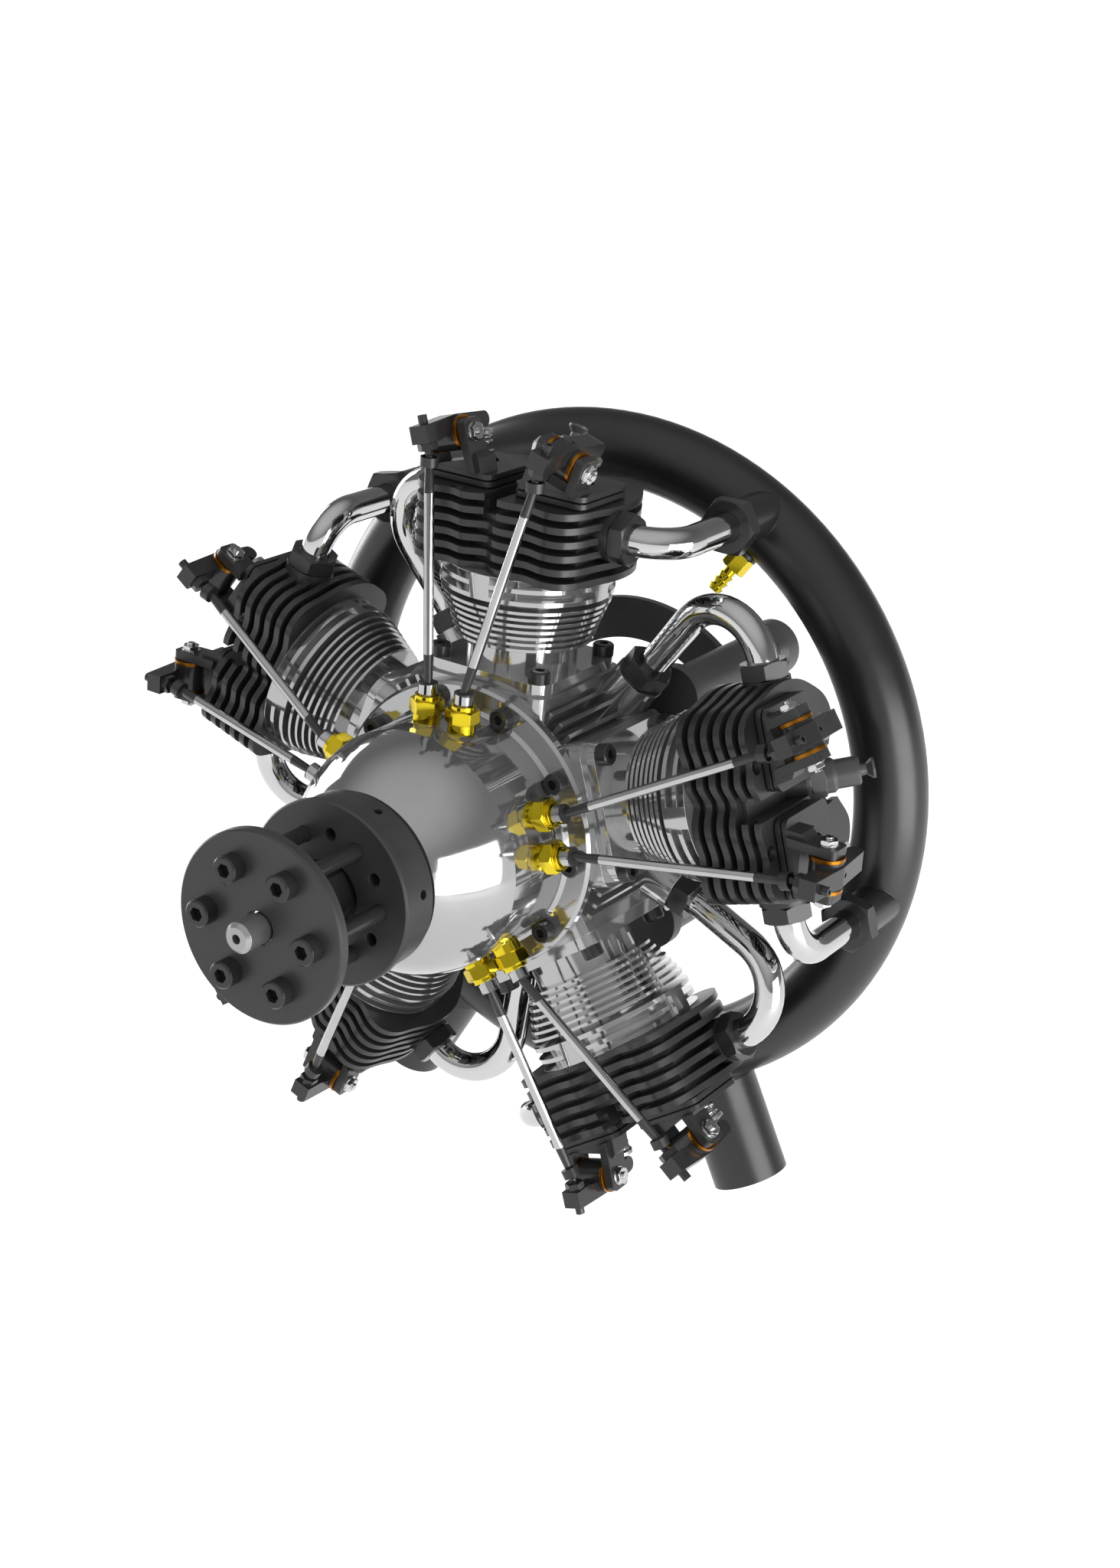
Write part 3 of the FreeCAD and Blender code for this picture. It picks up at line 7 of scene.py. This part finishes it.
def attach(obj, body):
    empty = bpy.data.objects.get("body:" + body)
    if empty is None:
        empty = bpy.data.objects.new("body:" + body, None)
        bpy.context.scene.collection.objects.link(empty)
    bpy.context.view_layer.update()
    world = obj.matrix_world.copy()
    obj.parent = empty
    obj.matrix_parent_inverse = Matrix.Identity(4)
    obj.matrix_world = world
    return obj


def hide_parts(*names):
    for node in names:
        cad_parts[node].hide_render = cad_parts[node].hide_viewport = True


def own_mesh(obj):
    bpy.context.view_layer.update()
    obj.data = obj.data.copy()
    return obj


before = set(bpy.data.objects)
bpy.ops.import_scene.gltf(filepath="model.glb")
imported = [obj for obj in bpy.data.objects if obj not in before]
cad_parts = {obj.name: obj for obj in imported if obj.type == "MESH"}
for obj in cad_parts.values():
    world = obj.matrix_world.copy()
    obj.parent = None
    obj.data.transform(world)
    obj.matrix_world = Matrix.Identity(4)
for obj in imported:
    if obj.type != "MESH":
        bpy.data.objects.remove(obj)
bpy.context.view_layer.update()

MM = 0.001
CYLINDERS = 5

# Camera, at the photograph's angle; angles in degrees, lens and sensor in millimetres
AIM = Vector((12.03, -89.55, 6.91)) * MM
VIEW_AZIMUTH = 31.125
VIEW_ELEVATION = 21.618
VIEW_ROLL = 4.725
VIEW_DISTANCE = 828.28 * MM
LENS = 57.4
SENSOR = 36.0
CLIP_START = 0.01

# Studio
FLOOR_DROP = 330.0 * MM      # floor below the crankshaft
FLOOR_SIZE = 12.0
FLOOR_GREY = 0.32
FLOOR_ROUGH = 0.9
FLOOR_GLOW = 0.84            # the floor's own white, under what the lamps add
BACKDROP_END = 0.05          # height in the sky, 0 to 1, up to which it is white
ROOM_START = 0.1             # height in the sky from which it is the room's grey
ROOM_GREY = 0.22             # what polished metal shows of the room above the horizon
ROOM_TOP = 0.1               # and of the room straight overhead
SOFTBOX_FROM = Vector((0.03, -0.46, 0.885))   # direction of the large soft light overhead
SOFTBOX_GLOW = 0.65
SOFTBOX_EDGE = 0.35          # cosine of the angle at which it has faded out
WORLD_FILL = 0.5             # even light on the object
LAMP_POWER = 9.0
RIGHT_LAMP_AT = (1.0, -0.25, 0.0)
RIGHT_LAMP_SIZE = (0.9, 0.62)
LEFT_LAMP_AT = (-1.4, 0.3, 0.2)
LEFT_LAMP_SIZE = (0.6, 0.9)

# Where a pushrod changes from bright to black and back, by its distance from the crankshaft
ROD_CUP_END = 51.6 * MM
ROD_FOOT_END = 60.6 * MM
ROD_TOP_START = 109.6 * MM
ROD_TOP_END = 1.0            # past the end of the rod

# The finish of a pushrod
ROD_CHROME = (0.42, 0.42, 0.425)
ROD_CHROME_WIPED = (0.55, 0.55, 0.555)
ROD_BLACK = (0.02, 0.02, 0.02)
ROD_BLACK_WIPED = (0.035, 0.035, 0.035)
ROD_ROUGH = 0.04             # least and most roughness of the chrome
ROD_ROUGH_MOST = 0.09
ROD_BLACK_ADDS = 0.25        # more roughness where it is black

# Surface texture
NOISE_LOW = 0.3              # what a noise rarely falls below
NOISE_HIGH = 0.7             # and rarely rises above
BROAD_DETAIL = 4.0
FINE_DETAIL = 2.0
METAL_PATCHES = 90.0
COATING_PATCHES = 60.0
ROD_PATCHES = 120.0
METAL_GRAIN_DEPTH = 0.02 * MM
COATING_GRAIN_DEPTH = 0.03 * MM
LEAST_ROUGH = 0.02
EDGE_SAMPLES = 4

# Valve springs, about the rocker pivot: w along the pin, y along the shaft, u away from the head
PLANE_Y = -100.0 * MM        # the cylinders' axes
VALVE_TILT = math.radians(17.0)
PIVOT = Vector((21.0, -17.5, 123.6)) * MM
VALVE_ARM = 14.5 * MM
SPRING_SEAT = -13.4 * MM
SPRING_TOP = -2.7 * MM
SPRING_R = 3.5 * MM
SPRING_WIRE_R = 0.5 * MM
SPRING_TURNS = 5.0
SPRING_END_FLAT = 0.75       # how far the end turns lie down: 0 not at all, 1 flat at the very end
WIRE_SIDES = 10
TURN_STEPS = 28


# Node helpers

def new_material(name):
    material = bpy.data.materials.new(name)
    material.use_nodes = True
    nodes = material.node_tree.nodes
    shader = nodes["Principled BSDF"]
    return material, nodes, material.node_tree.links, shader


def noise(nodes, links, scale, detail):
    """Noise on the surface, which moves with the piece."""
    where = nodes.new("ShaderNodeTexCoord")
    texture = nodes.new("ShaderNodeTexNoise")
    texture.inputs["Scale"].default_value = scale
    texture.inputs["Detail"].default_value = detail
    links.new(where.outputs["Object"], texture.inputs["Vector"])
    return texture.outputs["Fac"]


def spread_value(nodes, links, source, low, high):
    """Map a noise's usual values on to a range."""
    span = nodes.new("ShaderNodeMapRange")
    span.inputs["From Min"].default_value = NOISE_LOW
    span.inputs["From Max"].default_value = NOISE_HIGH
    span.inputs["To Min"].default_value = low
    span.inputs["To Max"].default_value = high
    links.new(source, span.inputs["Value"])
    return span.outputs["Result"]


def tint(nodes, links, source, dark, light):
    mix = nodes.new("ShaderNodeMix")
    mix.data_type = "RGBA"
    mix.inputs["A"].default_value = (*dark, 1.0)
    mix.inputs["B"].default_value = (*light, 1.0)
    links.new(source, mix.inputs["Factor"])
    return mix.outputs["Result"]


def relief(nodes, links, height, strength, distance, soft_edge):
    """Fine relief over edges that are rounded in the shading."""
    bevel = nodes.new("ShaderNodeBevel")
    bevel.samples = EDGE_SAMPLES
    bevel.inputs["Radius"].default_value = soft_edge
    bump = nodes.new("ShaderNodeBump")
    bump.inputs["Strength"].default_value = strength
    bump.inputs["Distance"].default_value = distance
    links.new(height, bump.inputs["Height"])
    links.new(bevel.outputs["Normal"], bump.inputs["Normal"])
    return bump.outputs["Normal"]


def grey(level):
    return level, level, level, 1.0


def arithmetic(nodes, operation):
    node = nodes.new("ShaderNodeMath")
    node.operation = operation
    return node


# Materials

def metal(name, color, rough, spread=0.03, grain=2600.0, grain_strength=0.05, edge=0.25, shade=0.9,
          metallic=1.0):
    """Bare metal with faint wipe marks and a fine grain; a cast skin is less metallic than a turned one."""
    material, nodes, links, shader = new_material(name)
    shader.inputs["Metallic"].default_value = metallic
    wipes = noise(nodes, links, METAL_PATCHES, BROAD_DETAIL)
    fine = noise(nodes, links, grain, FINE_DETAIL)
    dark = tuple(c * shade for c in color)
    links.new(tint(nodes, links, wipes, dark, color), shader.inputs["Base Color"])
    rough_value = spread_value(nodes, links, wipes, max(LEAST_ROUGH, rough - spread), rough + spread)
    links.new(rough_value, shader.inputs["Roughness"])
    normal = relief(nodes, links, fine, grain_strength, METAL_GRAIN_DEPTH, edge * MM)
    links.new(normal, shader.inputs["Normal"])
    return material


def coating(name, color, rough, spread=0.05, grain=3500.0, grain_strength=0.25, edge=0.35, specular=0.5,
            lift=1.5):
    """Anodised, blackened or painted metal with a blasted grain."""
    material, nodes, links, shader = new_material(name)
    shader.inputs["Specular IOR Level"].default_value = specular
    broad = noise(nodes, links, COATING_PATCHES, BROAD_DETAIL)
    fine = noise(nodes, links, grain, FINE_DETAIL)
    light = tuple(c * lift for c in color)
    links.new(tint(nodes, links, broad, color, light), shader.inputs["Base Color"])
    links.new(spread_value(nodes, links, broad, rough - spread, rough + spread), shader.inputs["Roughness"])
    normal = relief(nodes, links, fine, grain_strength, COATING_GRAIN_DEPTH, edge * MM)
    links.new(normal, shader.inputs["Normal"])
    return material


def band(nodes, links, source, start, end):
    """1 between two distances, 0 outside them."""
    above = arithmetic(nodes, "GREATER_THAN")
    above.inputs[1].default_value = start
    links.new(source, above.inputs[0])
    below = arithmetic(nodes, "LESS_THAN")
    below.inputs[1].default_value = end
    links.new(source, below.inputs[0])
    both = arithmetic(nodes, "MULTIPLY")
    links.new(above.outputs[0], both.inputs[0])
    links.new(below.outputs[0], both.inputs[1])
    return both.outputs[0]


def shaft_distance(nodes, links):
    """Distance of the surface from the crankshaft's axis."""
    where = nodes.new("ShaderNodeTexCoord")
    flat = nodes.new("ShaderNodeVectorMath")
    flat.operation = "MULTIPLY"
    flat.inputs[1].default_value = (1.0, 0.0, 1.0)
    length = nodes.new("ShaderNodeVectorMath")
    length.operation = "LENGTH"
    links.new(where.outputs["Object"], flat.inputs[0])
    links.new(flat.outputs["Vector"], length.inputs[0])
    return length.outputs["Value"]


def pushrod_material():
    """Chrome cup and tube with blackened tapers at both ends."""
    material, nodes, links, shader = new_material("pushrod_chrome_and_black")
    away = shaft_distance(nodes, links)
    foot = band(nodes, links, away, ROD_CUP_END, ROD_FOOT_END)
    top = band(nodes, links, away, ROD_TOP_START, ROD_TOP_END)
    black = arithmetic(nodes, "ADD")
    links.new(foot, black.inputs[0])
    links.new(top, black.inputs[1])
    wipes = noise(nodes, links, ROD_PATCHES, BROAD_DETAIL)
    mix = nodes.new("ShaderNodeMix")
    mix.data_type = "RGBA"
    links.new(black.outputs[0], mix.inputs["Factor"])
    links.new(tint(nodes, links, wipes, ROD_CHROME, ROD_CHROME_WIPED), mix.inputs["A"])
    links.new(tint(nodes, links, wipes, ROD_BLACK, ROD_BLACK_WIPED), mix.inputs["B"])
    links.new(mix.outputs["Result"], shader.inputs["Base Color"])
    bright = arithmetic(nodes, "SUBTRACT")
    bright.inputs[0].default_value = 1.0
    links.new(black.outputs[0], bright.inputs[1])
    links.new(bright.outputs[0], shader.inputs["Metallic"])
    rough = arithmetic(nodes, "MULTIPLY_ADD")
    rough.inputs[1].default_value = ROD_BLACK_ADDS
    links.new(black.outputs[0], rough.inputs[0])
    links.new(spread_value(nodes, links, wipes, ROD_ROUGH, ROD_ROUGH_MOST), rough.inputs[2])
    links.new(rough.outputs[0], shader.inputs["Roughness"])
    return material


POLISHED = metal("polished_aluminium", (0.46, 0.46, 0.465), 0.07, metallic=0.85)
CASE = metal("buffed_aluminium", (0.44, 0.44, 0.445), 0.13, 0.05, grain_strength=0.08, metallic=0.8)
BARREL = metal("turned_aluminium", (0.52, 0.52, 0.525), 0.1, 0.04, edge=0.15, metallic=0.8)
MACHINED = metal("machined_aluminium", (0.4, 0.4, 0.405), 0.28, 0.06, grain_strength=0.15)
CHROME = metal("chrome", (0.62, 0.62, 0.625), 0.05, 0.02)
STEEL = metal("ground_steel", (0.42, 0.42, 0.425), 0.32, 0.05, grain_strength=0.1, metallic=0.8)
BRASS = metal("yellow_brass", (0.86, 0.66, 0.03), 0.12, 0.04, edge=0.3, shade=0.75)
BRONZE = metal("bronze", (0.36, 0.14, 0.014), 0.3, 0.05)
HEAD_BLACK = coating("black_anodised", (0.022, 0.022, 0.022), 0.33, edge=0.2)
SCREW_BLACK = coating("black_oxide", (0.018, 0.018, 0.019), 0.24, grain_strength=0.1, edge=0.25)
DRIVE_GREY = coating("grey_anodised", (0.03, 0.03, 0.031), 0.36)
RING_BLACK = coating("satin_black_coat", (0.009, 0.009, 0.009), 0.33, 0.04, grain_strength=0.12, specular=0.6)
PLUG_GREY = metal("plug_shield", (0.11, 0.11, 0.112), 0.4, 0.05, grain_strength=0.15, metallic=0.6)
MOUNT_GREY = coating("mount_grey", (0.05, 0.05, 0.05), 0.38, 0.04, grain_strength=0.12)
ROD = pushrod_material()

NODE_MATERIAL = {
    "crankcase": CASE, "nose_case": POLISHED, "rear_cover": MACHINED, "rear_mount": MOUNT_GREY,
    "case_screws": SCREW_BLACK, "tappet_guides": BRASS, "cylinder_barrels": BARREL,
    "cylinder_heads": HEAD_BLACK, "barrel_screws": SCREW_BLACK, "spark_plugs": PLUG_GREY,
    "rocker_stands": HEAD_BLACK, "rocker_pins": CHROME, "rocker_bushes": BRONZE, "valve_springs": CHROME,
    "crankshaft": STEEL, "prop_hub": DRIVE_GREY, "prop_washer": DRIVE_GREY, "prop_screws": SCREW_BLACK,
    "prop_nut": SCREW_BLACK, "shaft_bearings": STEEL, "pistons": MACHINED, "connecting_rods": STEEL,
    "rod_pins": STEEL, "cam_ring": STEEL, "cam_idler": STEEL, "exhaust_ring": RING_BLACK,
    "exhaust_pipes": CHROME, "intake_pipes": CHROME, "pipe_nuts": SCREW_BLACK, "pressure_nipple": BRASS,
}


def material_of(node):
    """Material of a CAD node, with the valve gear named by its kind."""
    if node in NODE_MATERIAL:
        return NODE_MATERIAL[node]
    if "_rocker_" in node:
        return SCREW_BLACK
    if "_pushrod_" in node:
        return ROD
    return STEEL


def dress_nodes():
    for name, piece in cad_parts.items():
        piece.data.materials.clear()
        piece.data.materials.append(material_of(name))


# Pieces

def place_on_head(point, side, cylinder):
    """Move a point drawn about the rocker pivot to its cylinder; side is 1 for exhaust, -1 for intake."""
    w, y, u = point
    x = PIVOT.x + w * math.cos(VALVE_TILT) + u * math.sin(VALVE_TILT)
    z = PIVOT.z - w * math.sin(VALVE_TILT) + u * math.cos(VALVE_TILT)
    angle = cylinder * 2.0 * math.pi / CYLINDERS
    c, s = math.cos(angle), math.sin(angle)
    x *= side
    return Vector((x * c + z * s, PLANE_Y + PIVOT.y + y, z * c - x * s))


def coil_line():
    """Centre line of a spring whose end turns lie down, as ground ends do."""
    low = SPRING_SEAT + SPRING_WIRE_R
    high = SPRING_TOP - SPRING_WIRE_R
    count = round(SPRING_TURNS * TURN_STEPS)
    points = []
    for i in range(count + 1):
        share = i / count
        eased = share - math.sin(2.0 * math.pi * share) / (2.0 * math.pi) * SPRING_END_FLAT
        angle = 2.0 * math.pi * SPRING_TURNS * share
        points.append(Vector((SPRING_R * math.cos(angle), VALVE_ARM + SPRING_R * math.sin(angle),
                              low + (high - low) * eased)))
    return points


def wire_mesh(name, points, radius, place):
    """Round wire along a line, closed at both ends."""
    vertices = []
    faces = []
    last = len(points) - 1
    for i, point in enumerate(points):
        along = (points[min(i + 1, last)] - points[max(i - 1, 0)]).normalized()
        side = along.cross(Vector((0.0, 0.0, 1.0))).normalized()
        up = side.cross(along)
        for k in range(WIRE_SIDES):
            angle = 2.0 * math.pi * k / WIRE_SIDES
            vertices.append(place(point + (side * math.cos(angle) + up * math.sin(angle)) * radius))
    for i in range(last):
        for k in range(WIRE_SIDES):
            a = i * WIRE_SIDES + k
            b = i * WIRE_SIDES + (k + 1) % WIRE_SIDES
            faces.append((a, b, b + WIRE_SIDES, a + WIRE_SIDES))
    faces.append(tuple(range(WIRE_SIDES)))
    faces.append(tuple(last * WIRE_SIDES + k for k in reversed(range(WIRE_SIDES))))
    mesh = bpy.data.meshes.new(name)
    mesh.from_pydata(vertices, [], faces)
    mesh.polygons.foreach_set("use_smooth", [len(f) == 4 for f in faces])
    mesh.update()
    return mesh


def add_springs():
    line = coil_line()
    for cylinder in range(CYLINDERS):
        for side, kind in ((1, "exhaust"), (-1, "intake")):
            def place(point):
                return place_on_head(point, side, cylinder)
            name = f"{kind}_spring_coil_{cylinder + 1}"
            mesh = wire_mesh(name, line, SPRING_WIRE_R, place)
            if side < 0:
                mesh.flip_normals()
            mesh.materials.append(CHROME)
            coil = bpy.data.objects.new(name, mesh)
            bpy.context.scene.collection.objects.link(coil)
            seat = place((0.0, VALVE_ARM, SPRING_SEAT))
            top = place((0.0, VALVE_ARM, SPRING_TOP))
            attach(coil, "engine")
            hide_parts("valve_springs")
            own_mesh(coil)


# Studio

def add_camera():
    azimuth, elevation, roll = (math.radians(a) for a in (VIEW_AZIMUTH, VIEW_ELEVATION, VIEW_ROLL))
    back = Vector((math.cos(elevation) * math.sin(azimuth), -math.cos(elevation) * math.cos(azimuth),
                   math.sin(elevation)))
    level = Vector((math.cos(azimuth), math.sin(azimuth), 0.0))
    upright = back.cross(level)
    right = level * math.cos(roll) + upright * math.sin(roll)
    up = back.cross(right)
    data = bpy.data.cameras.new("camera")
    data.sensor_fit = "VERTICAL"
    data.sensor_height = SENSOR
    data.lens = LENS
    data.clip_start = CLIP_START
    camera = bpy.data.objects.new("camera", data)
    bpy.context.scene.collection.objects.link(camera)
    turn = Matrix((right, up, back)).transposed().to_4x4()
    camera.matrix_world = Matrix.Translation(AIM + back * VIEW_DISTANCE) @ turn
    bpy.context.scene.camera = camera


def add_lamp(name, place, size):
    """Rectangular lamp that faces the engine."""
    data = bpy.data.lights.new(name, "AREA")
    data.shape = "RECTANGLE"
    data.size, data.size_y = size
    data.energy = LAMP_POWER
    lamp = bpy.data.objects.new(name, data)
    bpy.context.scene.collection.objects.link(lamp)
    lamp.location = place
    lamp.rotation_euler = (Vector(place) - AIM).to_track_quat("Z", "Y").to_euler()


def seen_rays(nodes, links):
    """1 for rays from the camera, mirrors and glass, 0 for the light on the object."""
    path = nodes.new("ShaderNodeLightPath")
    total = path.outputs["Is Camera Ray"]
    for name in ("Is Glossy Ray", "Is Transmission Ray"):
        larger = arithmetic(nodes, "MAXIMUM")
        links.new(total, larger.inputs[0])
        links.new(path.outputs[name], larger.inputs[1])
        total = larger.outputs[0]
    return total


def add_floor():
    """Pale matt floor that keeps the shadow and adds its own white where it is seen."""
    material, nodes, links, shader = new_material("studio_floor")
    shader.inputs["Base Color"].default_value = grey(FLOOR_GREY)
    shader.inputs["Roughness"].default_value = FLOOR_ROUGH
    shader.inputs["Emission Color"].default_value = grey(1.0)
    glow = arithmetic(nodes, "MULTIPLY")
    glow.inputs[1].default_value = FLOOR_GLOW
    links.new(seen_rays(nodes, links), glow.inputs[0])
    links.new(glow.outputs[0], shader.inputs["Emission Strength"])
    bpy.ops.mesh.primitive_plane_add(size=FLOOR_SIZE, location=(0.0, 0.0, -FLOOR_DROP))
    floor = bpy.context.object
    floor.name = "floor"
    floor.data.materials.append(material)


def softbox(nodes, links, direction):
    """Soft glow of the overhead light, brightest in the middle and without an edge."""
    unit = nodes.new("ShaderNodeVectorMath")
    unit.operation = "NORMALIZE"
    links.new(direction, unit.inputs[0])
    facing = nodes.new("ShaderNodeVectorMath")
    facing.operation = "DOT_PRODUCT"
    facing.inputs[1].default_value = SOFTBOX_FROM.normalized()
    links.new(unit.outputs["Vector"], facing.inputs[0])
    fade = nodes.new("ShaderNodeMapRange")
    fade.interpolation_type = "SMOOTHSTEP"
    fade.inputs["From Min"].default_value = SOFTBOX_EDGE
    fade.inputs["From Max"].default_value = 1.0
    fade.inputs["To Max"].default_value = SOFTBOX_GLOW
    links.new(facing.outputs["Value"], fade.inputs["Value"])
    return fade.outputs["Result"]


def room_colour(nodes, links, direction):
    """White backdrop up to the horizon, grey room above it and a darker one overhead."""
    split = nodes.new("ShaderNodeSeparateXYZ")
    ramp = nodes.new("ShaderNodeValToRGB")
    ramp.color_ramp.elements[0].position = BACKDROP_END
    ramp.color_ramp.elements[0].color = grey(1.0)
    ramp.color_ramp.elements[1].position = ROOM_START
    ramp.color_ramp.elements[1].color = grey(ROOM_GREY)
    top = ramp.color_ramp.elements.new(1.0)
    top.color = grey(ROOM_TOP)
    links.new(direction, split.inputs["Vector"])
    links.new(split.outputs["Z"], ramp.inputs["Fac"])
    return ramp.outputs["Color"]


def add_world():
    """Even light on the object, with the room and the overhead light where they are seen."""
    world = bpy.data.worlds.new("studio")
    bpy.context.scene.world = world
    world.use_nodes = True
    nodes = world.node_tree.nodes
    links = world.node_tree.links
    fill = nodes["Background"]
    fill.inputs["Color"].default_value = grey(1.0)
    fill.inputs["Strength"].default_value = WORLD_FILL
    direction = nodes.new("ShaderNodeTexCoord").outputs["Generated"]
    room = nodes.new("ShaderNodeBackground")
    links.new(room_colour(nodes, links, direction), room.inputs["Color"])
    choice = nodes.new("ShaderNodeMixShader")
    links.new(seen_rays(nodes, links), choice.inputs["Fac"])
    links.new(fill.outputs["Background"], choice.inputs[1])
    links.new(room.outputs["Background"], choice.inputs[2])
    overhead = nodes.new("ShaderNodeBackground")
    links.new(softbox(nodes, links, direction), overhead.inputs["Strength"])
    both = nodes.new("ShaderNodeAddShader")
    links.new(choice.outputs["Shader"], both.inputs[0])
    links.new(overhead.outputs["Background"], both.inputs[1])
    links.new(both.outputs["Shader"], nodes["World Output"].inputs["Surface"])


dress_nodes()
add_springs()
add_camera()
add_world()
add_floor()
add_lamp("right", RIGHT_LAMP_AT, RIGHT_LAMP_SIZE)
add_lamp("left", LEFT_LAMP_AT, LEFT_LAMP_SIZE)
bpy.context.scene.view_settings.view_transform = "Standard"
